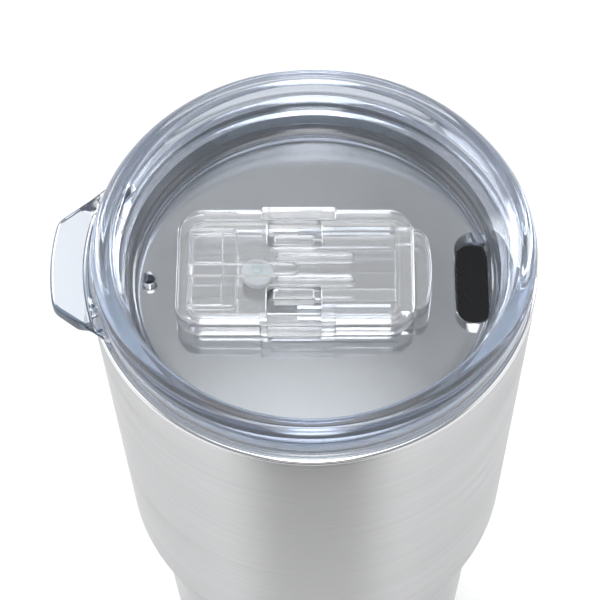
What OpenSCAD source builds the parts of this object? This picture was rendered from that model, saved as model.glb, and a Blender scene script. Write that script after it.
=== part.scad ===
// Double-walled steel tumbler with a clear press-in lid and a sliding gate over the drink hole.
// Millimetres, +Z up. The origin is the centre of the resting face.
// +X points from the lid's pull tab towards its drink hole.

/* [Steel body] */
// Height from the resting face to the top of the steel lip
body_h = 195; // [185:1:205]
// Outer diameter at the lip
mouth_d = 103.2; // [101:0.2:106]
// Slope of the upper wall from the vertical, degrees
upper_taper = 2.45; // [2:0.05:2.8]
// Height at which the upper wall starts to curve in
shoulder_z = 100; // [92:1:108]
// Radius of the shoulder's outward curve
shoulder_r = 17; // [14:1:20]
// Radius of the hollow curve under the shoulder
waist_r = 6; // [4:1:8]
// Diameter that the lower wall would have at the resting face
base_d = 73.8; // [72:0.2:75]
// Slope of the lower wall from the vertical, degrees
lower_taper = 3.5; // [3:0.1:3.8]
// Wall thickness of the outer shell
shell_t = 0.6; // [0.5:0.1:0.8]
// Wall thickness of the liner
liner_t = 0.5; // [0.4:0.1:0.6]
// Distance from the outer face to the liner's inner face, at the lip
mouth_wall = 3.6; // [3.4:0.1:3.8]
// The same distance from the shoulder down
body_wall = 4.6; // [4:0.1:5]

/* [Lid] */
// Height of the rim's crest above the steel lip
lid_rise = 9; // [8.4:0.2:10]
// Depth of the lid's floor below the crest
floor_depth = 14.8; // [14:0.2:15.6]
// Thickness of the floor
floor_t = 3.2; // [3:0.1:3.4]
// How far the pull tab reaches past the rim
tab_reach = 9.6; // [8:0.2:11]
// How far the rim bulges outwards at the mouthpiece
mouthpiece_bulge = 0.6; // [0.4:0.1:0.8]
// Length of the drink hole, across the lid
hole_l = 22; // [20:0.5:22]
// Width of the drink hole, along the slider's travel
hole_w = 7.9; // [7:0.1:7.9]
// Diameter of the air vent
vent_d = 2.6; // [2:0.1:3]

/* [Slider] */
// How far the slider moves to close the drink hole
slider_travel = 13.5; // [13.3:0.1:13.5]
// Length of the slider's cover
cover_l = 54.7; // [54:0.1:55]
// Width of the slider's cover
cover_w = 32; // [32:0.1:33]
// Radius of the cover's corners
cover_corner_r = 6; // [5:0.5:7]
// Width of the gate
gate_w = 22.6; // [22.4:0.1:22.8]

/* [Hidden] */
$fn = 96;

steel_bright = [0.82, 0.83, 0.84];
steel_brushed = [0.7, 0.71, 0.72];
steel_dark = [0.5, 0.51, 0.53];
clear_plastic = [0.82, 0.88, 0.94, 0.45];
clear_slider = [0.93, 0.95, 0.97, 0.55];
milky_silicone = [0.88, 0.92, 0.95, 0.85];

eps = 0.01;
clearance = 0.3;

// ---- Steel body ----
lip_h = 1.2;
lip_outer_r = 0.8;
lip_inner_r = 0.8;
seam_z = body_h - lip_h;
foot_gap = 0.3;
foot_r = 2.5;
foot_edge_r = base_d / 2 - 3.3;
foot_slope = tan(lower_taper);
shoulder_start_r = mouth_d / 2 - (body_h - shoulder_z) * tan(upper_taper);
shoulder_centre = [shoulder_start_r - shoulder_r * cos(upper_taper),
    shoulder_z + shoulder_r * sin(upper_taper)];
// The slope at which the shoulder's curve hands over to the waist's, so that both run on smoothly
shoulder_end = lower_taper + acos((base_d / 2 * cos(lower_taper) + waist_r
    - shoulder_centre[0] * cos(lower_taper) + shoulder_centre[1] * sin(lower_taper))
    / (shoulder_r + waist_r));
waist_centre = shoulder_centre + (shoulder_r + waist_r) * [cos(shoulder_end), -sin(shoulder_end)];

liner_corner_r = 8;
liner_floor_z = 12;
liner_joint_z = liner_floor_z + liner_corner_r;
pan_z = 4.4;
pan_r = base_d / 2 - 0.6;
pan_flange_z = 2.9;
port_r = 1;
port_recess_r = 7;
port_recess_h = 1.2;
port_bead_r = 3;
cap_t = 0.6;
cap_rim_z = 2.6;
cap_r = foot_edge_r - clearance;
cap_edge = 0.4;
getter_x = 18;
getter_r = 5;
getter_h = 1.8;
clip_t = 0.4;
clip_l = 16;
clip_w = 7;
fit_gap = 0.05;

// ---- Lid ----
lid_top = body_h + lid_rise;
seat_z = body_h + clearance;
floor_z = lid_top - floor_depth;
floor_under_z = floor_z - floor_t;
rim_r = mouth_d / 2 - 1.1;
rim_crest_r = 3.2;
rim_inner_r = rim_r - 5.6;
rim_edge_r = 1.4;
rim_foot = [0.6, 0.2, 0.4];
bowl_slope = 11.6;
bowl_fillet = 2.4;
plug_r = mouth_d / 2 - mouth_wall - 1.1;
plug_bottom_z = floor_under_z - 2;
plug_chamfer = 0.6;
plug_inner_r = [plug_r - 6, plug_r - 5];
groove_z = [floor_under_z + 1.9, floor_under_z + 6.5];
groove_r = plug_r - 2.2;
gasket_gap = 0.15;
fin_r = plug_r + 0.75;
fin_h = 1.7;
crest_centre = [rim_inner_r + rim_edge_r, lid_top - rim_edge_r];
bowl_top = crest_centre + rim_edge_r * [-cos(bowl_slope), sin(bowl_slope)];
fillet_z = floor_z + bowl_fillet;
fillet_centre = [bowl_top[0] - (bowl_top[1] - fillet_z) * tan(bowl_slope)
    - bowl_fillet / cos(bowl_slope), fillet_z];

mouthpiece_shift = 2.7;
mouthpiece_tilt = 2.9;
mouthpiece_fade_x = 0.766 * rim_r;
mouthpiece_from_x = 30;
mouthpiece_w = 4.4;
mouthpiece_h = 8;
scoop_shift = 6;
scoop_from_h = 1;
scoop_r = [bowl_top[0] - 2.6 - scoop_shift, rim_inner_r + 2.4 - scoop_shift];

hole_x = rim_inner_r - 11.5;
hole_corner_r = 3.2;
hole_outer_r = hole_x + hole_w;
hole_in_wall = 1.5;
vent_x = -37.8;

tab_r = rim_r + tab_reach;
tab_side_angle = 37.5;
tab_side_d = tab_r - 15.1;
tab_corner_r = 4;
tab_fillet_r = 12;
tab_top_z = [lid_top - 6.4, lid_top - 8];
tab_under_z = body_h - 3;
tab_hook_r = mouth_d / 2 + 0.7;
tab_edge = 0.9;
tab_root_in = 3;
tab_core = [-20, 0];

// ---- Slider and its rails, as heights above the lid's floor ----
cover_x = -31.3;
cover_h = 5.15;
cover_top_t = 1.5;
cover_wall = 2.6;
cover_end_gap = 0.4;
cover_side_gap = 1;
cover_ceiling = cover_h - cover_top_t;
window_x = [-10.4, 2];
window_y = [5.3, 12.5];
window_corner_r = 1.2;
shoulder_x = [-12, 5.4];
shoulder_proud = 0.3;
shoulder_in = 3.5;
keel_x = [cover_x + cover_wall, -3.2];
keel_r = 1.7;
keel_gap = 2.15;
long_rib_x = [-8.6, 9.8];
long_rib_y = 3.2;
long_rib_r = 1;
long_rib_gap = 1.6;
short_rib_x = [cover_x + cover_wall, -17.9];
short_rib_y = 10.3;
short_rib_t = 1.2;
short_rib_gap = 2.6;
cross_rib_x = [-20.9, -17.4];
cross_rib_gap = 3;

strip_x = [-9.3, 19.7];
strip_y = [11.8, 17.4];
strip_h = 0.7;
rail_x = [-3.5, 17.8];
rail_y = 9.4;
rail_web = 1;
rail_cap_y = 11.8;
rail_cap_h = [2.4, 3.2];
hook_y = [10.8, 12.2];
hook_h = [strip_h + clearance, 2.1];

gate_x = 19;
gate_gap = 0.5;
gate_h = 4.2;
gate_corner_r = 4;
nose_r = hole_outer_r - clearance;
arm_x = [-8, 20];
arm_y = [5.2, 8.9];
arm_h = [2.35, cover_ceiling - fit_gap];
catch_x = [-9, 0.5];
catch_in = 0.5;
catch_h = cover_h - clearance;

pad_x = -12.7;
pad_r = 3.7;
pad_edge_r = 0.4;
pad_stem_r = 1.1;
pad_stem_h = 1.3;

// Points of an arc about c, where each angle is the direction of the point from c
function arc(c, r, from, to, steps = 10) =
    [for (k = [0:steps]) let (a = from + (to - from) * k / steps) c + r * [cos(a), sin(a)]];

function reversed(list) = [for (k = [len(list) - 1:-1:0]) list[k]];

// Radius of the upper and the lower wall at height z, moved inwards by inset
function upper_r(z, inset) = mouth_d / 2 - (body_h - z) * tan(upper_taper) - inset / cos(upper_taper);
function lower_r(z, inset) = base_d / 2 + z * foot_slope - inset / cos(lower_taper);

// The shoulder and the waist, from the top down, moved inwards by inset
function shoulder(inset) = concat(
    arc(shoulder_centre, shoulder_r - inset, -upper_taper, -shoulder_end),
    arc(waist_centre, -waist_r - inset, -shoulder_end, -lower_taper, 6));

// The turned-in foot of the outer shell, from the wall round to the underside
function foot(inset) = arc([lower_r(foot_gap + foot_r, foot_r), foot_gap + foot_r],
    foot_r - inset, -lower_taper, -90, 6);

module ring(points) rotate_extrude() polygon(points);

module mirrored_y() {
    children();
    mirror([0, 1, 0]) children();
}

// A box from its two x, two y and two z limits, in any order of x, y and z
module block(x, y, z) translate([x[0], y[0], z[0]]) cube([x[1] - x[0], y[1] - y[0], z[1] - z[0]]);

module rounded_rect(x, y, r) {
    translate([x[0] + r, y[0]]) square([x[1] - x[0] - 2 * r, y[1] - y[0]]);
    translate([x[0], y[0] + r]) square([x[1] - x[0], y[1] - y[0] - 2 * r]);
    for (cx = [x[0] + r, x[1] - r], cy = [y[0] + r, y[1] - r]) translate([cx, cy]) circle(r);
}

module upright(z, h) translate([0, 0, z]) linear_extrude(h) children();

// ---- Steel body ----

module outer_shell() color(steel_brushed) ring(concat(
    [[upper_r(seam_z, 0), seam_z]],
    shoulder(0),
    foot(0),
    [[foot_edge_r, foot_gap], [foot_edge_r, foot_gap + shell_t]],
    reversed(foot(shell_t)),
    reversed(shoulder(shell_t)),
    [[upper_r(seam_z, shell_t), seam_z]]));

// The lip's skin, rolled over from the seam on the outside to the liner's wall
function lip(inset) = concat(
    arc([upper_r(body_h - lip_outer_r, lip_outer_r), body_h - lip_outer_r],
        lip_outer_r - inset, 0, 90),
    arc([mouth_d / 2 - mouth_wall + lip_inner_r, body_h - lip_inner_r],
        lip_inner_r - inset, 90, 180, 6));

module inner_liner() color(steel_bright) ring(concat(
    [[upper_r(seam_z, liner_t), seam_z], [upper_r(seam_z, 0), seam_z]],
    lip(0),
    shoulder(body_wall),
    [[lower_r(liner_joint_z, body_wall), liner_joint_z],
        [lower_r(liner_joint_z, body_wall - liner_t), liner_joint_z]],
    reversed(shoulder(body_wall - liner_t)),
    reversed(lip(liner_t))));

function liner_corner(inset) = arc(
    [lower_r(liner_joint_z, body_wall + liner_corner_r), liner_joint_z],
    liner_corner_r + inset, -lower_taper, -90);

module liner_bottom() color(steel_bright) ring(concat(
    [[0, liner_floor_z]], reversed(liner_corner(0)),
    liner_corner(liner_t), [[0, liner_floor_z - liner_t]]));

module shell_bottom() color(steel_dark) ring([
    [port_r, pan_z + port_recess_h], [port_recess_r, pan_z + port_recess_h],
    [port_recess_r + port_recess_h, pan_z], [pan_r - shell_t, pan_z],
    [pan_r - shell_t, pan_flange_z], [pan_r, pan_flange_z], [pan_r, pan_z + shell_t],
    [port_recess_r + port_recess_h, pan_z + shell_t],
    [port_recess_r, pan_z + port_recess_h + shell_t],
    [port_r, pan_z + port_recess_h + shell_t]]);

module base_cap() color(steel_bright) ring([
    [0, 0], [cap_r - cap_edge, 0], [cap_r, cap_edge], [cap_r, cap_rim_z],
    [cap_r - cap_t, cap_rim_z], [cap_r - cap_t, cap_t], [0, cap_t]]);

module vacuum_plug() color(steel_dark) translate([0, 0, pan_z]) {
    cylinder(h = port_recess_h, r = port_bead_r);
    translate([0, 0, port_recess_h]) cylinder(h = shell_t, r = port_r - fit_gap);
}

module getter_clip() color(steel_dark) translate([getter_x, 0, pan_z + shell_t]) {
    block([-clip_l / 2, clip_l / 2], [-clip_w / 2, clip_w / 2], [0, clip_t]);
    difference() {
        cylinder(h = getter_h + clip_t, r = getter_r + clip_t);
        translate([0, 0, clip_t]) cylinder(h = getter_h + clip_t, r = getter_r + fit_gap);
    }
}

module getter() color("dimgray")
    translate([getter_x, 0, pan_z + shell_t + clip_t]) cylinder(h = getter_h, r = getter_r);

// ---- Lid ----

module lid_body() ring(concat(
    [[plug_r, seat_z], [rim_r - rim_foot[0], seat_z], [rim_r - rim_foot[1], seat_z + rim_foot[2]]],
    arc([rim_r - rim_crest_r, lid_top - rim_crest_r], rim_crest_r, 0, 90),
    arc(crest_centre, rim_edge_r, 90, 180 - bowl_slope, 6),
    arc(fillet_centre, bowl_fillet, -bowl_slope, -90, 8),
    [[0, floor_z], [0, floor_under_z], [plug_inner_r[0], floor_under_z],
        [plug_inner_r[1], plug_bottom_z], [plug_r - plug_chamfer, plug_bottom_z],
        [plug_r, plug_bottom_z + plug_chamfer], [plug_r, groove_z[0]], [groove_r, groove_z[0]],
        [groove_r, groove_z[1]], [plug_r, groove_z[1]]]));

// A slightly smaller rim, moved towards the mouthpiece and tipped up, so that it fades into the main one
module mouthpiece() {
    r = rim_r + mouthpiece_bulge - mouthpiece_shift;
    intersection() {
        translate([mouthpiece_fade_x, 0, lid_top]) rotate([0, -mouthpiece_tilt, 0])
            translate([mouthpiece_shift - mouthpiece_fade_x, 0, 0]) ring(concat(
                [[r - mouthpiece_w, -mouthpiece_h], [r - rim_foot[1], -mouthpiece_h]],
                arc([r - rim_crest_r, -rim_crest_r], rim_crest_r, 0, 90), [[r - mouthpiece_w, 0]]));
        block([mouthpiece_from_x, tab_r], [-tab_r, tab_r], [seat_z, lid_top + lid_rise]);
    }
}

// The wider slope behind the drink hole
module mouthpiece_scoop() translate([scoop_shift, 0, floor_z + scoop_from_h])
    cylinder(h = floor_depth + scoop_from_h, r1 = scoop_r[0], r2 = scoop_r[1]);

module hole_outline() intersection() {
    circle(hole_outer_r);
    rounded_rect([hole_x, hole_outer_r], [-hole_l / 2, hole_l / 2], hole_corner_r);
}

// The pull tab's plan: a slice of a disc with slanted sides, rounded corners and hollow roots
module tab_plan() {
    normal = [-sin(tab_side_angle), cos(tab_side_angle)];
    along = [cos(tab_side_angle), sin(tab_side_angle)];
    corner_d = tab_side_d - tab_corner_r;
    corner = corner_d * normal - sqrt(pow(tab_r - tab_corner_r, 2) - pow(corner_d, 2)) * along;
    root_d = tab_side_d + tab_fillet_r;
    root = root_d * normal - sqrt(pow(rim_r + tab_fillet_r, 2) - pow(root_d, 2)) * along;
    on_side = root - tab_fillet_r * normal;
    on_rim = root * rim_r / (rim_r + tab_fillet_r);
    intersection() {
        circle(tab_r);
        union() {
            polygon([tab_core, corner + tab_corner_r * normal, on_side]);
            polygon([tab_core, [-2 * tab_r, 0], corner * 2, corner]);
            polygon([tab_core, corner, corner + tab_corner_r * normal]);
            translate(corner) circle(tab_corner_r);
        }
    }
    difference() {
        polygon([root, on_side, tab_core, on_rim]);
        translate(root) circle(tab_fillet_r);
    }
}

module pull_tab() intersection() {
    ring([[rim_r - tab_root_in, seat_z], [tab_hook_r, seat_z], [tab_hook_r, tab_under_z],
        [tab_r - tab_edge, tab_under_z], [tab_r, tab_under_z + tab_edge],
        [tab_r, tab_top_z[1] - tab_edge], [tab_r - tab_edge, tab_top_z[1]],
        [rim_r - tab_root_in, tab_top_z[0]]]);
    upright(tab_under_z - 1, lid_top - tab_under_z) mirrored_y() tab_plan();
}

// The rails that the slider's hooks run on
module lid_rails() translate([0, 0, floor_z]) mirrored_y() {
    block(strip_x, strip_y, [-eps, strip_h]);
    block(rail_x, [rail_y, rail_y + rail_web], [-eps, rail_cap_h[1]]);
    block(rail_x, [rail_y, rail_cap_y], rail_cap_h);
}

module lid_shell() color(clear_plastic) {
    difference() {
        union() {
            lid_body();
            mouthpiece();
            pull_tab();
        }
        mouthpiece_scoop();
        upright(plug_bottom_z - 1, floor_z + hole_in_wall - plug_bottom_z + 1) hole_outline();
        translate([vent_x, 0, floor_under_z - 1]) cylinder(h = floor_t + 2, r = vent_d / 2);
    }
    lid_rails();
}

// A ring with two soft fins that wipe the liner's wall
module lid_gasket() color(milky_silicone) {
    low = groove_z[0] + gasket_gap;
    high = groove_z[1] - gasket_gap;
    ring([[groove_r + fit_gap, low], [plug_r, low], [fin_r, low + fin_h / 2], [plug_r, low + fin_h],
        [plug_r, high - fin_h], [fin_r, high - fin_h / 2], [plug_r, high],
        [groove_r + fit_gap, high]]);
}

// ---- Slider ----

module cover_plan(inset) rounded_rect([cover_x + inset, cover_x + cover_l - inset],
    [-cover_w / 2 + inset, cover_w / 2 - inset], cover_corner_r - inset);

module slider_cover() color(clear_slider) translate([0, 0, floor_z]) {
    cover_end = cover_x + cover_l;
    half_w = cover_w / 2;
    difference() {
        union() {
            upright(cover_end_gap, cover_h - cover_end_gap) cover_plan(0);
            mirrored_y() block(shoulder_x, [half_w - shoulder_in, half_w + shoulder_proud],
                [cover_side_gap, cover_h + shoulder_proud]);
        }
        upright(0, cover_ceiling) cover_plan(cover_wall);
        block([cover_x + cover_corner_r, cover_end + 1], [-half_w - 1, half_w + 1], [0, cover_side_gap]);
        block([cover_end - cover_wall - 1, cover_end + 1], [-gate_w / 2 - clearance, gate_w / 2 + clearance],
            [0, cover_ceiling]);
        mirrored_y() upright(0, cover_h + 1) rounded_rect(window_x, window_y, window_corner_r);
    }
    difference() {
        upright(keel_gap, cover_ceiling - keel_gap + eps)
            rounded_rect([keel_x[0] - keel_r, keel_x[1]], [-keel_r, keel_r], keel_r - eps);
        translate([pad_x, 0, 0]) cylinder(h = keel_gap + pad_stem_h + fit_gap, r = pad_stem_r + fit_gap);
    }
    mirrored_y() {
        upright(long_rib_gap, cover_ceiling - long_rib_gap + eps)
            rounded_rect(long_rib_x, [long_rib_y - long_rib_r, long_rib_y + long_rib_r], long_rib_r - eps);
        block(window_x, [hook_y[1], half_w - cover_wall + eps], [hook_h[0], cover_ceiling + eps]);
        block(window_x, [hook_y[0], half_w - cover_wall + eps], hook_h);
        block(short_rib_x, [short_rib_y - short_rib_t / 2, short_rib_y + short_rib_t / 2],
            [short_rib_gap, cover_ceiling + eps]);
    }
    block(cross_rib_x, [-short_rib_y, short_rib_y], [cross_rib_gap, cover_ceiling + eps]);
}

module gate_plan() intersection() {
    translate([-slider_travel, 0]) circle(nose_r);
    rounded_rect([gate_x - gate_corner_r, nose_r - slider_travel],
        [-gate_w / 2, gate_w / 2], gate_corner_r);
    translate([gate_x, -gate_w / 2]) square([gate_w, gate_w]);
}

module slider_gate() color(clear_slider) translate([0, 0, floor_z]) {
    cover_end = cover_x + cover_l;
    upright(gate_gap, arm_h[1] - gate_gap) gate_plan();
    intersection() {
        upright(gate_gap, gate_h - gate_gap) gate_plan();
        block([cover_end + clearance, cover_end + gate_w], [-gate_w, gate_w], [0, gate_h]);
    }
    mirrored_y() {
        block(arm_x, arm_y, arm_h);
        block(catch_x, [arm_y[0] + catch_in, arm_y[1]], [arm_h[0], catch_h]);
    }
}

// A soft disc whose stem sits in the keel, and whose face drags on the lid's floor
module friction_pad() color(milky_silicone) translate([pad_x, 0, floor_z]) ring([
    [0, clearance], [pad_r - pad_edge_r, clearance], [pad_r, clearance + pad_edge_r],
    [pad_r, keel_gap - pad_edge_r], [pad_r - pad_edge_r, keel_gap], [pad_stem_r, keel_gap],
    [pad_stem_r, keel_gap + pad_stem_h], [0, keel_gap + pad_stem_h]]);

outer_shell();
inner_liner();
liner_bottom();
shell_bottom();
base_cap();
vacuum_plug();
getter_clip();
getter();
lid_shell();
lid_gasket();
slider_cover();
slider_gate();
friction_pad();
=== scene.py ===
import math

import bmesh
import bpy
from mathutils import Matrix, Vector


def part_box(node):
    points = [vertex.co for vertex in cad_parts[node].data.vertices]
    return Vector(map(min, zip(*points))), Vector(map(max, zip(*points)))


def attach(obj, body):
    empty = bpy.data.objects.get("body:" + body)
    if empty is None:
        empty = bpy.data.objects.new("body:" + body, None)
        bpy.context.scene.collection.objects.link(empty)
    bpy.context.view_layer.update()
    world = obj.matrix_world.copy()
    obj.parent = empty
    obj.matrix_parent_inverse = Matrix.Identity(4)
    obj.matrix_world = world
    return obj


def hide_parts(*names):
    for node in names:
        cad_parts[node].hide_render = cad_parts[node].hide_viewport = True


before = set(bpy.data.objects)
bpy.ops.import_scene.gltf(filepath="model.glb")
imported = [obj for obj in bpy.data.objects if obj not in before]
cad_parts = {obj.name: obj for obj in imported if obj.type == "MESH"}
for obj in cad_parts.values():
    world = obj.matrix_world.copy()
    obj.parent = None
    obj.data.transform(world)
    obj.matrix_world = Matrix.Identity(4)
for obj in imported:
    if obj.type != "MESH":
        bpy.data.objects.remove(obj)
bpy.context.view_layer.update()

# Lengths are millimetres in the CAD's frame, and meshes are scaled to metres as they are made.
# The stage and the camera are in metres.
MM = 0.001
BODY_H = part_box("inner_liner")[1][2] / MM
MOUTH_R = 51.6
UPPER_SLOPE = math.radians(2.45)
LOWER_SLOPE = math.radians(3.5)
BASE_R = 36.9
SHOULDER_Z, SHOULDER_R, WAIST_R = 100, 17, 6
SHELL_T, LINER_T, BODY_WALL, MOUTH_WALL = 0.6, 0.5, 4.6, 3.6
LIP_H, LIP_OUTER_R, LIP_INNER_R = 1.2, 0.8, 0.8
FOOT_R, FOOT_GAP, FOOT_EDGE_R = 2.5, 0.3, 33.6
LINER_JOINT_Z = 20
SEAM_Z = BODY_H - LIP_H

LID_TOP = BODY_H + 9
SEAT_Z = BODY_H + 0.3
FLOOR_Z = LID_TOP - 14.8
UNDER_Z = FLOOR_Z - 3.2
RIM_R, RIM_INNER_R = 50.5, 44.9
PLUG_R, GROOVE_R = 46.9, 44.7
PLUG_Z = UNDER_Z - 2
GROOVE_Z = (UNDER_Z + 1.9, UNDER_Z + 6.5)


# ---- Mesh tools ----

def arc(cx, cy, r, start, end, steps=10):
    """Points of an arc about (cx, cy). Angles in degrees."""
    angles = [math.radians(start + (end - start) * k / steps) for k in range(steps + 1)]
    return [(cx + r * math.cos(a), cy + r * math.sin(a)) for a in angles]


def new_object(name, bm, body=None, materials=(), sharp=35):
    bmesh.ops.recalc_face_normals(bm, faces=bm.faces)
    mesh = bpy.data.meshes.new(name)
    bm.to_mesh(mesh)
    bm.free()
    mesh.transform(Matrix.Scale(MM, 4))
    return dress(bpy.data.objects.new(name, mesh), body, materials, sharp)


def dress(obj, body, materials, sharp=None):
    """Links an object, smooths it if asked, and gives it its materials and body."""
    if obj.name not in bpy.context.scene.collection.objects:
        bpy.context.scene.collection.objects.link(obj)
    if sharp:
        obj.data.shade_smooth()
        obj.data.set_sharp_from_angle(angle=math.radians(sharp))
    for material in materials:
        obj.data.materials.append(material)
    if body:
        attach(obj, body)
    return obj


def revolve(profile, steps=240, warp=None):
    """A closed solid of revolution from a section's (r, z) points. A point on the axis becomes a pole."""
    bm = bmesh.new()
    rows = []
    for r, z in profile:
        if r == 0:
            rows.append([bm.verts.new((0, 0, z))])
            continue
        row = []
        for k in range(steps):
            a = 2 * math.pi * k / steps
            pr, pz = warp(r, z, a) if warp else (r, z)
            row.append(bm.verts.new((pr * math.cos(a), pr * math.sin(a), pz)))
        rows.append(row)
    for one, two in zip(rows, rows[1:] + rows[:1]):
        if len(one) == 1 and len(two) == 1:
            continue
        for k in range(steps):
            n = (k + 1) % steps
            if len(one) == 1:
                bm.faces.new((one[0], two[k], two[n]))
            elif len(two) == 1:
                bm.faces.new((one[n], one[k], two[0]))
            else:
                bm.faces.new((one[n], one[k], two[k], two[n]))
    return bm


def rounded(x0, x1, y0, y1, r, steps=8):
    """Outline of a rectangle with round corners, anticlockwise."""
    corners = ((x1 - r, y0 + r, -90), (x1 - r, y1 - r, 0), (x0 + r, y1 - r, 90), (x0 + r, y0 + r, 180))
    return [p for cx, cy, a in corners for p in arc(cx, cy, r, a, a + 90, steps)]


def loft(levels):
    """A closed solid through outlines of equal length, given as (outline, z or a function of x and y)."""
    bm = bmesh.new()
    rows = []
    for outline, z in levels:
        rows.append([bm.verts.new((x, y, z(x, y) if callable(z) else z)) for x, y in outline])
    count = len(rows[0])
    for one, two in zip(rows, rows[1:]):
        for k in range(count):
            n = (k + 1) % count
            bm.faces.new((one[k], one[n], two[n], two[k]))
    bm.faces.new(rows[0][::-1])
    bm.faces.new(rows[-1])
    return bm


def rounding(radius, steps=5):
    """Inset and rise of the points on an edge's quarter round, from the wall inwards."""
    if not radius:
        return [(0, 0)]
    angles = [math.pi / 2 * k / steps for k in range(steps + 1)]
    return [(radius - radius * math.cos(a), radius * math.sin(a)) for a in angles]


def pillow(plan, z, top=0.0, bottom=0.0):
    """A solid between two heights with its edges rounded. plan(inset) gives its outline."""
    levels = [(plan(inset), z[0] + bottom - rise) for inset, rise in reversed(rounding(bottom))]
    levels += [(plan(inset), z[1] - top + rise) for inset, rise in rounding(top)]
    return loft(levels)


def bar(x, y, z, corner=0.4, top=0.0, bottom=0.0):
    """A pillow with a rectangular plan and round corners."""
    def plan(inset):
        corner_r = max(corner - inset, 0.03)
        return rounded(x[0] + inset, x[1] - inset, y[0] + inset, y[1] - inset, corner_r, 6)
    return pillow(plan, z, top, bottom)


def both_bars(x, y, z, **edges):
    """The same bar on both sides of the XZ plane."""
    return [bar(x, y, z, **edges), bar(x, (-y[1], -y[0]), z, **edges)]


def block(x, y, z):
    outline = [(x[0], y[0]), (x[1], y[0]), (x[1], y[1]), (x[0], y[1])]
    return loft([(outline, z[0]), (outline, z[1])])


def both_sides(x, y, z):
    """The same block on both sides of the XZ plane."""
    return [block(x, y, z), block(x, (-y[1], -y[0]), z)]


def evaluated(obj):
    mesh = bpy.data.meshes.new_from_object(obj.evaluated_get(bpy.context.evaluated_depsgraph_get()))
    old = obj.data
    obj.modifiers.clear()
    obj.data = mesh
    bpy.data.meshes.remove(old)


def combine(base, tools, operation):
    """Adds or cuts solids, given in millimetres, with the exact boolean."""
    for bm in tools:
        bmesh.ops.recalc_face_normals(bm, faces=bm.faces)
        tool = new_object("tool", bm)
        cut = base.modifiers.new("cut", "BOOLEAN")
        cut.operation = operation
        cut.solver = "EXACT"
        cut.object = tool
        cut.use_self = operation == "DIFFERENCE"
        evaluated(base)
        bpy.data.objects.remove(tool)


def flatten(obj):
    """Lets the large faces rule the shading, so that flat faces stay flat."""
    even = obj.modifiers.new("even", "WEIGHTED_NORMAL")
    even.weight = 90
    even.keep_sharp = True
    evaluated(obj)


# ---- Materials ----

def material(name, **sockets):
    mat = bpy.data.materials.new(name)
    mat.use_nodes = True
    shader = mat.node_tree.nodes["Principled BSDF"]
    for key, value in sockets.items():
        shader.inputs[key.replace("_", " ")].default_value = value
    return mat, shader


def node(mat, kind, **values):
    made = mat.node_tree.nodes.new(kind)
    for key, value in values.items():
        if key in made.inputs:
            made.inputs[key].default_value = value
        else:
            setattr(made, key, value)
    return made


def link(mat, source, target):
    mat.node_tree.links.new(source, target)


def noise(mat, scale, detail, stretch=(1, 1, 1)):
    """Noise in the object's own space, in cycles per metre, stretched along the axes."""
    place = node(mat, "ShaderNodeTexCoord")
    mapping = node(mat, "ShaderNodeMapping", Scale=stretch)
    texture = node(mat, "ShaderNodeTexNoise", Scale=scale, Detail=detail, Roughness=0.6)
    link(mat, place.outputs["Object"], mapping.inputs["Vector"])
    link(mat, mapping.outputs["Vector"], texture.inputs["Vector"])
    return texture.outputs["Fac"]


def ramp_between(mat, value, source, target, kind="SMOOTHSTEP"):
    """Maps a value from one range to another, and stays at the target's ends outside it."""
    out = node(mat, "ShaderNodeMapRange", interpolation_type=kind,
               **{"From Min": source[0], "From Max": source[1], "To Min": target[0], "To Max": target[1]})
    link(mat, value, out.inputs["Value"])
    return out.outputs["Result"]


def spread(mat, value, low, high):
    """Maps 0.3..0.7 of a noise to low..high, as a number or a colour."""
    if isinstance(low, tuple):
        ramp = node(mat, "ShaderNodeValToRGB")
        ramp.color_ramp.elements[0].position, ramp.color_ramp.elements[0].color = 0.3, (*low, 1)
        ramp.color_ramp.elements[1].position, ramp.color_ramp.elements[1].color = 0.7, (*high, 1)
        link(mat, value, ramp.inputs["Fac"])
        return ramp.outputs["Color"]
    return ramp_between(mat, value, (0.3, 0.7), (low, high), "LINEAR")


def bump(mat, shader, value, depth):
    made = node(mat, "ShaderNodeBump", Distance=depth, Strength=1.0)
    link(mat, value, made.inputs["Height"])
    link(mat, made.outputs["Normal"], shader.inputs["Normal"])


def brushed(name, low, high, rough, streak, depth=0.000012, anisotropic=0.75, edge=1.0, painted_light=0.0):
    """Steel brushed round its axis: fine streaks along the wall, with the gloss drawn out across them.

    edge is the reflection's strength at grazing angles; the last argument is painted light, a faint glow
    that stands in for the dim light reaching the steel.
    """
    mat, shader = material(name, Metallic=1.0, Anisotropic=anisotropic, Anisotropic_Rotation=0.25,
                           Specular_Tint=(edge, edge, edge, 1), Emission_Color=(0.95, 0.97, 1, 1),
                           Emission_Strength=painted_light)
    fine = noise(mat, 1.0, 6, streak)
    link(mat, spread(mat, fine, low, high), shader.inputs["Base Color"])
    link(mat, spread(mat, fine, *rough), shader.inputs["Roughness"])
    link(mat, node(mat, "ShaderNodeTangent", direction_type="RADIAL", axis="Z").outputs["Tangent"],
         shader.inputs["Tangent"])
    bump(mat, shader, fine, depth)
    return mat


def clear(name, tint, haze, waviness=0.00002, ior=1.56, depth_tint=None):
    mat, shader = material(name, Base_Color=(*tint, 1), Transmission_Weight=1.0 - haze, IOR=ior,
                           Roughness=0.0)
    bump(mat, shader, noise(mat, 60, 2), waviness)
    if depth_tint:
        inside = node(mat, "ShaderNodeVolumeAbsorption", Color=(*depth_tint, 1), Density=40.0)
        link(mat, inside.outputs["Volume"], mat.node_tree.nodes["Material Output"].inputs["Volume"])
    return mat


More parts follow.
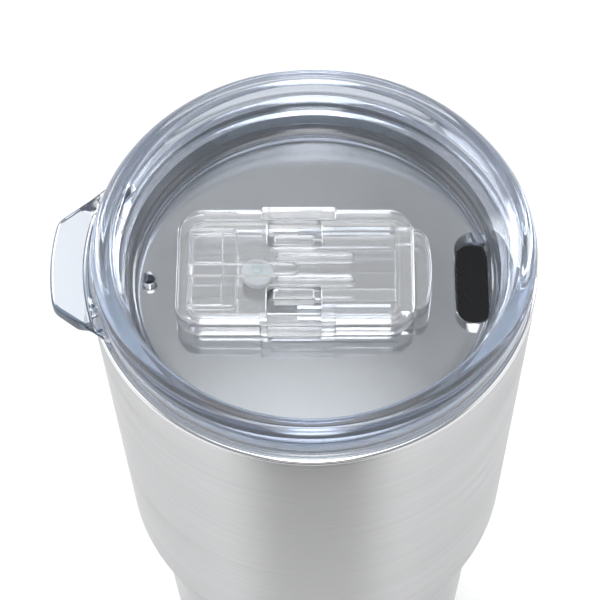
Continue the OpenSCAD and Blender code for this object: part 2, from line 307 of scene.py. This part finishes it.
WALL_STEEL = brushed("brushed_wall", (0.69, 0.691, 0.692), (0.81, 0.811, 0.812), (0.28, 0.40),
                     streak=(20, 20, 2100), edge=0.45)
LIP_STEEL = brushed("polished_steel", (0.74, 0.75, 0.76), (0.82, 0.83, 0.84), (0.10, 0.17),
                    streak=(20, 20, 900), depth=0.000004, anisotropic=0.3)
# The inside's steel has a faint painted glow, standing in for the dim light that reaches the cup's inside
# past the lid.
INNER_STEEL = brushed("inner_steel", (0.42, 0.423, 0.43), (0.52, 0.523, 0.53), (0.20, 0.30),
                      streak=(30, 30, 900), anisotropic=0.3, painted_light=0.012)
PLAIN_STEEL = brushed("plain_steel", (0.38, 0.385, 0.40), (0.5, 0.505, 0.52), (0.3, 0.42),
                      streak=(120, 120, 120), anisotropic=0.1)
CAP_STEEL = brushed("cap_steel", (0.5, 0.505, 0.51), (0.62, 0.625, 0.63), (0.22, 0.34),
                    streak=(30, 2600, 30), anisotropic=0.2)
CLEAR_LID = clear("clear_lid", (0.88, 0.905, 0.935), 0.09, depth_tint=(0.50, 0.62, 0.84))
# A dark blue tint for the pull tab's sides: painted shade for the dark edge line that the clear plastic
# shows there. Its low IOR weakens the highlight on it.
TAB_EDGE_SHADE = clear("painted_tab_edge_shade", (0.05, 0.08, 0.13), 0.04, ior=1.3)
CLEAR_SLIDER = clear("clear_slider", (0.99, 0.995, 1.0), 0.12, waviness=0.000002)


def make_underside():
    """The lid's underside mirrors softly, so that its floor looks grey from above."""
    mat, shader = material("lid_underside", Metallic=0.85)
    cloud = noise(mat, 35, 3)
    link(mat, spread(mat, cloud, (0.58, 0.58, 0.57), (0.64, 0.64, 0.63)), shader.inputs["Base Color"])
    link(mat, spread(mat, cloud, 0.07, 0.11), shader.inputs["Roughness"])
    return mat


def make_getter():
    mat, shader = material("getter_alloy", Metallic=0.7)
    grain = noise(mat, 2500, 5)
    link(mat, spread(mat, grain, (0.16, 0.16, 0.165), (0.30, 0.30, 0.305)), shader.inputs["Base Color"])
    link(mat, spread(mat, grain, 0.6, 0.85), shader.inputs["Roughness"])
    bump(mat, shader, grain, 0.00005)
    return mat


def make_silicone():
    mat, shader = material("silicone", IOR=1.41, Subsurface_Weight=0.25, Subsurface_Scale=0.002)
    cloud = noise(mat, 180, 3)
    link(mat, spread(mat, cloud, (0.70, 0.80, 0.86), (0.78, 0.86, 0.91)), shader.inputs["Base Color"])
    link(mat, spread(mat, cloud, 0.25, 0.36), shader.inputs["Roughness"])
    bump(mat, shader, cloud, 0.00002)
    return mat


UNDERSIDE = make_underside()
GETTER = make_getter()
SILICONE = make_silicone()


# ---- Steel body ----

SHOULDER_START_R = MOUTH_R - (BODY_H - SHOULDER_Z) * math.tan(UPPER_SLOPE)
SHOULDER_C = (SHOULDER_START_R - SHOULDER_R * math.cos(UPPER_SLOPE),
              SHOULDER_Z + SHOULDER_R * math.sin(UPPER_SLOPE))
SHOULDER_END = LOWER_SLOPE + math.acos(
    (BASE_R * math.cos(LOWER_SLOPE) + WAIST_R - SHOULDER_C[0] * math.cos(LOWER_SLOPE)
     + SHOULDER_C[1] * math.sin(LOWER_SLOPE)) / (SHOULDER_R + WAIST_R))
WAIST_C = (SHOULDER_C[0] + (SHOULDER_R + WAIST_R) * math.cos(SHOULDER_END),
           SHOULDER_C[1] - (SHOULDER_R + WAIST_R) * math.sin(SHOULDER_END))


def upper_r(z, inset=0.0):
    return MOUTH_R - (BODY_H - z) * math.tan(UPPER_SLOPE) - inset / math.cos(UPPER_SLOPE)


def lower_r(z, inset=0.0):
    return BASE_R + z * math.tan(LOWER_SLOPE) - inset / math.cos(LOWER_SLOPE)


def shoulder(inset):
    """The shoulder and the waist, from the top down."""
    up, end, low = math.degrees(UPPER_SLOPE), math.degrees(SHOULDER_END), math.degrees(LOWER_SLOPE)
    return (arc(*SHOULDER_C, SHOULDER_R - inset, -up, -end, 16)
            + arc(*WAIST_C, -WAIST_R - inset, -end, -low, 12)[1:])


def foot(inset):
    centre_z = FOOT_GAP + FOOT_R
    return arc(lower_r(centre_z, FOOT_R), centre_z, FOOT_R - inset, -math.degrees(LOWER_SLOPE), -90, 8)


def straight(radius, z0, z1, steps):
    """Points down a straight wall, without its two ends."""
    heights = [z0 + (z1 - z0) * k / steps for k in range(1, steps)]
    return [(radius(z), z) for z in heights]


def make_shell():
    chamfer, blend = 0.25, 0.7
    profile = [(upper_r(SEAM_Z, SHELL_T), SEAM_Z), (upper_r(SEAM_Z) - chamfer, SEAM_Z),
               (upper_r(SEAM_Z - chamfer) - 0.05, SEAM_Z - chamfer),
               (upper_r(SEAM_Z - blend), SEAM_Z - blend)]
    profile += straight(upper_r, SEAM_Z, SHOULDER_Z, 14)[1:] + shoulder(0)
    profile += straight(lower_r, shoulder(0)[-1][1], 3, 10) + foot(0)
    profile += [(FOOT_EDGE_R, FOOT_GAP), (FOOT_EDGE_R, FOOT_GAP + SHELL_T)]
    profile += foot(SHELL_T)[::-1] + shoulder(SHELL_T)[::-1]
    shell = new_object("shell_wall", revolve(profile), "tumbler", [WALL_STEEL])
    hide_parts("outer_shell")


def lip(inset):
    """The lip's skin, rolled over from the seam on the outside to the liner's wall."""
    outer_z, inner_z = BODY_H - LIP_OUTER_R, BODY_H - LIP_INNER_R
    outer = arc(upper_r(outer_z, LIP_OUTER_R), outer_z, LIP_OUTER_R - inset, 0, 90, 12)
    inner = arc(MOUTH_R - MOUTH_WALL + LIP_INNER_R, inner_z, LIP_INNER_R - inset, 90, 180, 8)
    return outer + inner


def make_liner():
    seam_step, seam_rise, polished_h = 0.2, 0.25, 3.5
    profile = [(upper_r(SEAM_Z, LINER_T), SEAM_Z), (upper_r(SEAM_Z) - seam_step, SEAM_Z),
               (upper_r(SEAM_Z + seam_rise), SEAM_Z + seam_rise)]
    profile += lip(0) + shoulder(BODY_WALL)
    profile += [(lower_r(LINER_JOINT_Z, BODY_WALL), LINER_JOINT_Z),
                (lower_r(LINER_JOINT_Z, BODY_WALL - LINER_T), LINER_JOINT_Z)]
    profile += shoulder(BODY_WALL - LINER_T)[::-1] + lip(LINER_T)[::-1]
    liner = new_object("liner_wall", revolve(profile), "tumbler",
                       [LIP_STEEL, INNER_STEEL])
    for face in liner.data.polygons:
        face.material_index = 1 if face.center.z < (BODY_H - polished_h) * MM else 0
    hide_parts("inner_liner")


# ---- Lid ----

def above_floor(z0, z1):
    return FLOOR_Z + z0, FLOOR_Z + z1


BOWL_SLOPE = math.radians(11.6)
FILLET = 2.4
CREST_R, EDGE_R = 3.2, 1.4
HOLE_X = (33.4, 41.3)
VENT_X, VENT_R = -37.8, 1.3
TAB_UNDER_Z = BODY_H - 3


def soft_max(a, b, width):
    """The larger of two lengths, with the step between them rounded over width."""
    d = max(width - abs(a - b), 0) / width
    return max(a, b) + d * d * width / 4


def off_centre(radius, shift, a):
    """Distance from the lid's axis to a circle that is shifted towards the mouthpiece, in direction a."""
    return shift * math.cos(a) + math.sqrt(radius ** 2 - (shift * math.sin(a)) ** 2)


def lid_warp(r, z, a):
    """Bulges the rim at the mouthpiece, and widens the slope behind the drink hole."""
    if abs(math.remainder(a, 2 * math.pi)) > math.radians(80) or z < FLOOR_Z + 0.05:
        return r, z
    bulge_shift, bulge_r, bulge_most, crest_rise = 2.7, RIM_R - 2.1, 0.6, 0.42
    scoop_shift, scoop_r, scoop_most, scoop_blend = 6, 34.3, 2.4, 1.2
    lift = max(z - FLOOR_Z, 0) / (LID_TOP - FLOOR_Z)
    outer = soft_max(RIM_R, off_centre(bulge_r, bulge_shift, a), 0.25) - RIM_R
    bulge = outer * min(max((r - PLUG_R) / (RIM_R - PLUG_R), 0), 1)
    beside_groove = r > GROOVE_R - 1 and z < GROOVE_Z[1] + 0.1
    if r < PLUG_R + 0.5 and z > FLOOR_Z + 0.3 and not beside_groove:
        scoop = off_centre(scoop_r + 7.0 * lift, scoop_shift, a)
        r = min(soft_max(r, scoop, scoop_blend), r + scoop_most)
    rise = crest_rise * max(outer, 0) / bulge_most * max(lift - 0.5, 0) * 2
    return r + bulge, min(z + rise, LID_TOP + 0.44)


def within(outline, radius):
    """Bends the outer end of an outline in, so that it follows the lid's wall."""
    return [(min(x, math.sqrt(radius ** 2 - y ** 2)), y) for x, y in outline]


def lid_profile():
    """The lid's section, from under the rim over the crest and down to the floor, then back below."""
    slope = math.degrees(BOWL_SLOPE)
    crest = (RIM_INNER_R + EDGE_R, LID_TOP - EDGE_R)
    bowl_top = (crest[0] - EDGE_R * math.cos(BOWL_SLOPE), crest[1] + EDGE_R * math.sin(BOWL_SLOPE))
    fillet_z = FLOOR_Z + FILLET
    fillet_r = bowl_top[0] - (bowl_top[1] - fillet_z) * math.tan(BOWL_SLOPE) - FILLET / math.cos(BOWL_SLOPE)
    fillet = arc(fillet_r, fillet_z, FILLET, -slope, -90, 12)
    run = (fillet[0][0] - bowl_top[0], fillet[0][1] - bowl_top[1])
    wall = [(bowl_top[0] + run[0] * k / 8, bowl_top[1] + run[1] * k / 8) for k in range(1, 8)]
    profile = [(PLUG_R, SEAT_Z - 0.5), (PLUG_R + 0.15, SEAT_Z - 0.12), (PLUG_R + 0.5, SEAT_Z),
               (RIM_R - 0.7, SEAT_Z), (RIM_R - 0.3, SEAT_Z + 0.15), (RIM_R - 0.15, SEAT_Z + 0.5)]
    profile += arc(RIM_R - CREST_R, LID_TOP - CREST_R, CREST_R, 0, 90, 14)
    profile += arc(*crest, EDGE_R, 90, 180 - slope, 10) + wall + fillet
    profile += [(r, FLOOR_Z) for r in (37, 30, 20, 10)] + [(0, FLOOR_Z), (0, UNDER_Z)]
    profile += [(r, UNDER_Z) for r in (10, 20, 30, 38, 40.6)]
    profile += [(40.9, UNDER_Z - 0.1), (41.75, PLUG_Z + 0.15), (42.1, PLUG_Z)]
    profile += [(PLUG_R - 0.8, PLUG_Z), (PLUG_R - 0.25, PLUG_Z + 0.25), (PLUG_R, PLUG_Z + 0.8)]
    return profile + [(PLUG_R, GROOVE_Z[0]), (GROOVE_R, GROOVE_Z[0]), (GROOVE_R, GROOVE_Z[1]),
                      (PLUG_R, GROOVE_Z[1])]


def slider_rails():
    """On each side of the lid's floor: a low track, and an upright whose ledge holds the slider down."""
    track = both_sides((-9.3, 19.7), (11.9, 17.4), above_floor(-0.05, 0.7))
    upright = both_sides((-3.5, 17.8), (9.4, 10.4), above_floor(-0.05, 3.15))
    ledge = both_sides((-3.5, 17.8), (9.42, 11.8), above_floor(2.4, 3.2))
    return track + upright + ledge


def drink_hole():
    """The hole through the floor, with a bevel that widens it at the top."""
    half, bevel = 10.9, 0.7
    inner = within(rounded(*HOLE_X, -half, half, 3.2), HOLE_X[1])
    outer_x = (HOLE_X[0] - 0.6, HOLE_X[1] + bevel)
    outer = within(rounded(*outer_x, -half - 1.8, half + 1.8, 5.0), outer_x[1])
    return loft([(inner, PLUG_Z - 1), (inner, FLOOR_Z - 1.9), (outer, FLOOR_Z + 0.02),
                 (outer, FLOOR_Z + 0.7), (inner, FLOOR_Z + 1.5)])


def vent():
    """The air vent, with a rounded way in."""
    bm = revolve([(0, PLUG_Z - 1), (VENT_R, PLUG_Z - 1), (VENT_R, FLOOR_Z - 0.5),
                  (VENT_R + 0.4, FLOOR_Z - 0.1), (VENT_R + 0.8, FLOOR_Z + 0.2), (0, FLOOR_Z + 0.2)], 40)
    bmesh.ops.translate(bm, verts=bm.verts, vec=(VENT_X, 0, 0))
    return bm


def make_lid():
    lid = new_object("lid_moulding", revolve(lid_profile(), 256, lid_warp))
    combine(lid, [make_tab()], "UNION")
    combine(lid, slider_rails(), "UNION")
    combine(lid, [drink_hole(), vent()], "DIFFERENCE")
    dress(lid, "lid", [CLEAR_LID, UNDERSIDE, TAB_EDGE_SHADE], 32)
    flatten(lid)
    for face in lid.data.polygons:
        x, y, z = face.center / MM
        r = math.hypot(x, y)
        under = z < UNDER_Z + 0.05 and r < PLUG_R - 0.1 and face.normal.z < -0.05
        on_tab = x < -40 and r > RIM_R + 0.6 and z < LID_TOP - 6.5
        # The tab's sides get painted shade: the dark tinted clear material.
        tab_side_shade = on_tab and abs(face.normal.z) < 0.9
        face.material_index = 1 if under else 2 if tab_side_shade else 0
    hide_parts("lid_shell")


def tab_reach(a):
    """The pull tab's outline: its distance from the lid's axis, a radians away from -X.

    From the middle out: an end concentric with the lid, a round corner, a slanted side, and a
    hollow curve of root_r that runs into the rim.
    """
    reach, corner_r, root_r, slant = 60.1, 4.0, 12.0, math.radians(37.5)
    side = reach - 15.1
    cos_slant, sin_slant = math.cos(slant), math.sin(slant)
    corner_d = side - corner_r
    corner_along = math.sqrt((reach - corner_r) ** 2 - corner_d ** 2)
    corner = (corner_d * sin_slant + corner_along * cos_slant,
              corner_d * cos_slant - corner_along * sin_slant)
    corner_a = math.atan2(corner[1], corner[0])
    side_from = math.atan2(corner[1] + corner_r * cos_slant, corner[0] + corner_r * sin_slant)
    root_d = side + root_r
    root_along = math.sqrt((RIM_R + root_r) ** 2 - root_d ** 2)
    root_a = math.atan2(root_d * cos_slant - root_along * sin_slant,
                        root_d * sin_slant + root_along * cos_slant)
    if a < corner_a:
        return reach
    if a < side_from:
        distance = math.hypot(*corner)
        half = distance * math.sin(a - corner_a)
        return distance * math.cos(a - corner_a) + math.sqrt(max(corner_r ** 2 - half ** 2, 0))
    if a >= root_a:
        return RIM_R - 0.3
    straight_side = side / math.cos(a - math.pi / 2 + slant)
    half = (RIM_R + root_r) * math.sin(root_a - a)
    hollow = (RIM_R + root_r) * math.cos(root_a - a) - math.sqrt(max(root_r ** 2 - half ** 2, 0))
    past_side = root_a - a < math.asin(root_r / (RIM_R + root_r)) and hollow > 0
    return min(straight_side, hollow) if past_side and hollow < straight_side + 0.5 else straight_side


def tab_top(r):
    """The tab's top slopes gently, and runs up into the rim in a small hollow curve."""
    return LID_TOP - 6.5 - 1.55 * (r - RIM_R + 3) / 12.6 + 1.2 * math.exp(-max(r - RIM_R, 0) / 0.45)


def tab_section(reach):
    """The tab's (r, z) section where it reaches out this far. It hooks down outside the steel lip."""
    inside, edge, seat = RIM_R - 2.2, 1.1, SEAT_Z + 0.05
    run_out = min(max((56 - reach) / 3.1, 0), 1)
    foot_z = TAB_UNDER_Z + (seat - TAB_UNDER_Z) * run_out ** 2 * (3 - 2 * run_out)
    hook = min(52.4, reach - 0.5)
    e = min(edge, (reach - hook) / 2 + 0.2)
    top = tab_top(reach)
    under = [(inside, seat), (hook - 0.3, seat), (hook, seat - min(0.3, seat - foot_z)),
             (hook + 0.02, foot_z), (max(reach - 0.8, hook + 0.05), foot_z),
             (reach - 0.2, foot_z + 0.22), (reach, foot_z + 0.8)]
    round_edge = [(x, top - e * 0.9 + (z - (top - e)) * 0.9)
                  for x, z in arc(reach - e, top - e, e, 0, 90, 5)]
    inwards = [reach - e - (reach - e - inside) * f for f in (0.3, 0.55, 0.68, 0.74, 0.78, 0.82, 1.0)]
    return under + round_edge + [(r, tab_top(r)) for r in inwards]


def make_tab():
    spread_a, half_steps = math.radians(32), 96
    bm = bmesh.new()
    rows = []
    for k in range(-half_steps, half_steps + 1):
        a = spread_a * k / half_steps
        section = tab_section(max(tab_reach(abs(a)), RIM_R - 0.3))
        rows.append([bm.verts.new((-r * math.cos(a), r * math.sin(a), z)) for r, z in section])
    for one, two in zip(rows, rows[1:]):
        for k in range(len(one)):
            n = (k + 1) % len(one)
            bm.faces.new((one[k], one[n], two[n], two[k]))
    bm.faces.new(rows[0][::-1])
    bm.faces.new(rows[-1])
    return bm


def make_gasket():
    """A ring in the lid's groove, with two fins that reach out past the plug."""
    gap, fin_half, reach = 0.15, 0.85, 0.72
    low, high = GROOVE_Z[0] + gap, GROOVE_Z[1] - gap
    inner, tip = GROOVE_R + 0.05, PLUG_R + reach

    def fin(z):
        side = ((PLUG_R - 0.1, fin_half), (PLUG_R + 0.3, 0.4), (tip - 0.06, 0.12))
        return [(r, z - h) for r, h in side] + [(tip, z)] + [(r, z + h) for r, h in reversed(side)]
    profile = [(inner, low), *fin(low + fin_half), *fin(high - fin_half), (inner, high)]
    gasket = new_object("gasket_ring", revolve(profile), "lid", [SILICONE], 50)
    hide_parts("lid_gasket")


# ---- Slider ----

COVER_X = (-31.3, 23.4)
WINDOW_X = (-10.4, 2)


def window_cuts(y):
    """One window through the cover, with its upper edge rounded outwards."""
    def plan(grow):
        return rounded(WINDOW_X[0] - grow, WINDOW_X[1] + grow, y[0] - grow, y[1] + grow, 1.2 + grow)
    flare = ((0, 4.6), (0.05, 4.85), (0.18, 5.05), (0.4, 5.17), (0.4, 6))
    return [pillow(plan, above_floor(3, 4.7)), loft([(plan(grow), FLOOR_Z + z) for grow, z in flare])]


def make_cover():
    wall, half, corner_r = 2.6, 16, 6

    def plan(inset):
        return rounded(COVER_X[0] + inset, COVER_X[1] - inset, -half + inset, half - inset,
                       corner_r - inset, 12)
    cover = new_object("cover", pillow(plan, above_floor(0.4, 5.15), 1.1, 0.3))
    cheeks = both_bars((-12, 5.4), (12.5, 16.3), above_floor(1, 5.45), corner=0.5, top=0.45)
    combine(cover, cheeks, "UNION")
    pocket = pillow(lambda inset: plan(wall + inset), above_floor(-1, 3.65), top=1.3)
    gate_way = bar((18.5, 25), (-11.6, 11.6), above_floor(-0.9, 3.55), corner=0.5, top=0.3)
    underside = block((-25.3, 24), (-17, 17), above_floor(-0.8, 1))
    windows = window_cuts((5.3, 12.5)) + window_cuts((-12.5, -5.3))
    combine(cover, [pocket, gate_way, underside] + windows, "DIFFERENCE")
    keel = bar((-30.4, -3.2), (-1.7, 1.7), above_floor(2.15, 3.8), corner=1.69, bottom=0.5)
    cross_rib = bar((-20.9, -17.4), (-10.25, 10.25), above_floor(3.0, 3.82), bottom=0.4)
    guides = both_bars((-8.6, 9.8), (2.2, 4.2), above_floor(1.6, 3.81), corner=0.99, bottom=0.5)
    end_ribs = both_bars((-29.5, -17.9), (9.7, 10.9), above_floor(2.6, 3.83), corner=0.59, bottom=0.4)
    hooks = both_bars((-10.38, 1.98), (12.2, 13.8), above_floor(1.05, 3.84), corner=0.3, bottom=0.3)
    hooks += both_bars((-10.36, 1.96), (10.8, 13.7), above_floor(1.02, 2.1), corner=0.3, top=0.3)
    combine(cover, [keel, cross_rib] + guides + end_ribs + hooks, "UNION")
    dress(cover, "slider", [CLEAR_SLIDER], 40)
    flatten(cover)
    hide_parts("slider_cover")


def make_gate():
    nose_r, travel, half, corner_r, back_x = 41.0, 13.5, 11.3, 3.2, 19
    end_a = math.degrees(math.asin((half - corner_r) / (nose_r - corner_r)))
    corner = ((nose_r - corner_r) * math.cos(math.radians(end_a)) - travel, half - corner_r)

    def plan(inset):
        edge_r = corner_r - inset
        nose = arc(-travel, 0, nose_r - inset, -end_a, end_a, 12)
        return ([(back_x + inset, -half + inset)] + arc(corner[0], -corner[1], edge_r, -90, -end_a, 8)
                + nose[1:-1] + arc(*corner, edge_r, end_a, 90, 8) + [(back_x + inset, half - inset)])
    gate = new_object("gate", pillow(plan, above_floor(0.5, 4.2), 1.0, 0.4))
    under_cover = block((18, COVER_X[1] + 0.3), (-12, 12), above_floor(3.3, 6))
    combine(gate, [under_cover], "DIFFERENCE")
    arms = both_bars((-8, 20), (5.2, 8.9), above_floor(2.35, 3.5), corner=0.5, top=0.35, bottom=0.35)
    grips = both_bars((-9, 0.5), (5.7, 8.88), above_floor(2.36, 4.85), corner=0.6, top=0.6)
    combine(gate, arms + grips, "UNION")
    dress(gate, "slider", [CLEAR_SLIDER], 40)
    flatten(gate)
    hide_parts("slider_gate")


def make_pad():
    pad_x, pad_r, edge_r, dimple_r = -12.7, 3.7, 0.4, 0.8
    low, high = above_floor(0.3, 2.1)
    profile = [(0, low + 0.25), (dimple_r, low + 0.25), (1.0, low + 0.05), (1.3, low)]
    profile += arc(pad_r - edge_r, low + edge_r, edge_r, -90, 0, 5)
    profile += arc(pad_r - edge_r, high - edge_r, edge_r, 0, 90, 5)
    profile += [(1.25, high), (1.1, high - 0.3), (dimple_r, high - 0.3), (0.65, high), (0, high)]
    bm = revolve(profile, 64)
    bmesh.ops.translate(bm, verts=bm.verts, vec=(pad_x, 0, 0))
    pad = new_object("pad_disc", bm, "slider", [SILICONE])
    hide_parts("friction_pad")


def finish_cad_nodes():
    """Gives the CAD pieces that are kept as they are their materials."""
    for name, mat in (("liner_bottom", INNER_STEEL), ("shell_bottom", PLAIN_STEEL), ("base_cap", CAP_STEEL),
                      ("vacuum_plug", PLAIN_STEEL), ("getter_clip", PLAIN_STEEL), ("getter", GETTER)):
        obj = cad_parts[name]
        obj.data.materials.clear()
        obj.data.materials.append(mat)


# ---- Stage ----

def strip(rows):
    """A mesh through rows of points of equal length, open at its ends."""
    bm = bmesh.new()
    verts = [[bm.verts.new(point) for point in row] for row in rows]
    for one, two in zip(verts, verts[1:]):
        for k in range(len(one) - 1):
            bm.faces.new((one[k], one[k + 1], two[k + 1], two[k]))
    return bm


def stage_piece(name, bm):
    """A piece of the stage, from a mesh in metres."""
    mesh = bpy.data.meshes.new(name)
    bm.to_mesh(mesh)
    bm.free()
    return dress(bpy.data.objects.new(name, mesh), None, [])


def make_floor():
    """A white table that curves up far behind."""
    bend, bend_y, top_z = 0.8, 1.6, 1.6
    section = [(-3.0, 0), (-1.0, 0), (0.5, 0), (bend_y, 0)]
    section += [(bend_y + bend * math.sin(math.radians(a)), bend - bend * math.cos(math.radians(a)))
                for a in range(10, 91, 10)]
    section += [(bend_y + bend, top_z)]
    table = stage_piece("table", strip([[(x, y, z) for x in (-3, -1.5, 0, 1.5, 3)] for y, z in section]))
    mat, shader = material("table_white", Base_Color=(0.5, 0.5, 0.5, 1), Roughness=0.7,
                           Emission_Color=(1, 1, 1, 1), Emission_Strength=0.4)
    bump(mat, shader, noise(mat, 900, 3), 0.00005)
    table.data.materials.append(mat)


# Azimuth from +Y towards +X, elevation, the angles where a panel starts and stops fading, and its light
PANELS = (
    (0, 90, 10, 20, (3, 3, 3)),
    (-2, 62.5, 1, 4, (1.5, 1.5, 1.5)),
    (6, 60, 1, 7, (-0.30, -0.30, -0.30)),
    (-9, 60, 1, 5, (-0.16, -0.16, -0.16)),
    (-1, 55, 2, 16, (0.34, 0.33, 0.30)),
    (-92, 25, 14, 26, (1.2, 1.2, 1.2)),
    (92, 25, 14, 26, (1.0, 1.0, 1.0)),
    (180, 48, 6, 14, (5, 5, 5)),
    (180, 68, 5, 15, (4, 4, 4)),
    (50, 28, 8, 16, (9, 9, 9)),
    (-50, 28, 11, 20, (9, 9, 9)),
    (180, 0, 10, 40, (-0.10, -0.12, -0.16)),
)


def make_world():
    """A studio as light by direction: an even grey-blue room, darker in front, with soft white panels."""
    world = bpy.data.worlds.new("studio")
    world.use_nodes = True
    tree = world.node_tree
    view = tree.nodes.new("ShaderNodeTexCoord").outputs["Generated"]

    def vector_math(operation, a, b):
        made = tree.nodes.new("ShaderNodeVectorMath")
        made.operation = operation
        for socket, value in zip(made.inputs, (a, b)):
            if value is None:
                continue
            if isinstance(value, tuple):
                socket.default_value = value
            else:
                tree.links.new(value, socket)
        return made

    total = (0.36, 0.37, 0.39)
    for azimuth, elevation, inner, outer, colour in PANELS:
        a, e = math.radians(azimuth), math.radians(elevation)
        toward = (math.sin(a) * math.cos(e), math.cos(a) * math.cos(e), math.sin(e))
        dot = vector_math("DOT_PRODUCT", view, toward).outputs["Value"]
        fade = tree.nodes.new("ShaderNodeMapRange")
        fade.interpolation_type = "SMOOTHSTEP"
        fade.inputs["From Min"].default_value = math.cos(math.radians(outer))
        fade.inputs["From Max"].default_value = math.cos(math.radians(inner))
        tree.links.new(dot, fade.inputs["Value"])
        scaled = vector_math("SCALE", colour, None)
        tree.links.new(fade.outputs["Result"], scaled.inputs["Scale"])
        total = vector_math("ADD", total, scaled.outputs["Vector"]).outputs["Vector"]
    tree.links.new(total, tree.nodes["Background"].inputs["Color"])
    bpy.context.scene.world = world


def make_flag():
    """A dark card on the table in front, seen only in reflections, that the steel's middle mirrors.

    It fades out sideways, by the angle from -Y, and towards the tumbler.
    """
    nearest, row_step, height = 0.062, 0.03, 0.001
    radii = [nearest + row_step * k for k in range(20)]
    angles = [math.radians(3 * k) for k in range(-20, 21)]
    flag = stage_piece("flag", strip([[(r * math.sin(a), -r * math.cos(a), height) for a in angles]
                                      for r in radii]))
    mat, shader = material("flag_black", Base_Color=(0.03, 0.03, 0.03, 1), Roughness=0.8)
    split = node(mat, "ShaderNodeSeparateXYZ")
    link(mat, node(mat, "ShaderNodeTexCoord").outputs["Object"], split.inputs["Vector"])
    angle = node(mat, "ShaderNodeMath", operation="ARCTAN2")
    link(mat, split.outputs["X"], angle.inputs[0])
    back = node(mat, "ShaderNodeMath", operation="MULTIPLY")
    link(mat, split.outputs["Y"], back.inputs[0])
    back.inputs[1].default_value = -1
    link(mat, back.outputs["Value"], angle.inputs[1])
    size = node(mat, "ShaderNodeMath", operation="ABSOLUTE")
    link(mat, angle.outputs["Value"], size.inputs[0])
    sideways = ramp_between(mat, size.outputs["Value"], (math.radians(14), math.radians(42)), (1.0, 0.0))
    near = ramp_between(mat, split.outputs["Y"], (-0.19, -0.15), (1.0, 0.25))
    cover = node(mat, "ShaderNodeMath", operation="MULTIPLY")
    link(mat, sideways, cover.inputs[0])
    link(mat, near, cover.inputs[1])
    link(mat, cover.outputs["Value"], shader.inputs["Alpha"])
    flag.data.materials.append(mat)
    flag.visible_camera = False
    flag.visible_diffuse = False
    flag.visible_transmission = False
    flag.visible_shadow = False


def make_camera():
    """A view from 600 mm away, 57 degrees above the horizon, aimed a little below the lid."""
    distance = 0.6
    turn, elevation, roll = math.radians(1.05), math.radians(56.92), math.radians(0.97)
    pan, tilt = math.radians(0.2816), math.radians(-1.2276)
    back = Vector((0, -math.cos(elevation), math.sin(elevation)))
    right = Vector((1, 0, 0))
    forward = -back
    up = right.cross(forward)
    tilted = Matrix.Rotation(tilt, 3, right)
    forward, up = tilted @ forward, tilted @ up
    panned = Matrix.Rotation(pan, 3, up)
    forward, right = panned @ forward, panned @ right
    rolled = Matrix.Rotation(roll, 3, forward)
    right, up = rolled @ right, rolled @ up
    axes = Matrix((right, up, -forward)).transposed()
    turned = Matrix.Rotation(turn, 3, "Z")
    place = Vector((0, 0, LID_TOP * MM)) + turned @ (back * distance)
    data = bpy.data.cameras.new("camera")
    data.lens = 159.2
    data.sensor_width = 36
    data.clip_start, data.clip_end = 0.01, 20
    camera = bpy.data.objects.new("camera", data)
    camera.matrix_world = Matrix.Translation(place) @ (turned @ axes).to_4x4()
    bpy.context.scene.collection.objects.link(camera)
    bpy.context.scene.camera = camera


make_camera()
make_shell()
make_liner()
make_lid()
make_gasket()
make_cover()
make_gate()
make_pad()
finish_cad_nodes()
make_floor()
make_world()
make_flag()

scene = bpy.context.scene
scene.view_settings.view_transform = "Standard"
scene.cycles.max_bounces = 24
scene.cycles.transmission_bounces = 20
scene.cycles.glossy_bounces = 12
scene.cycles.transparent_max_bounces = 16
scene.cycles.sample_clamp_indirect = 8
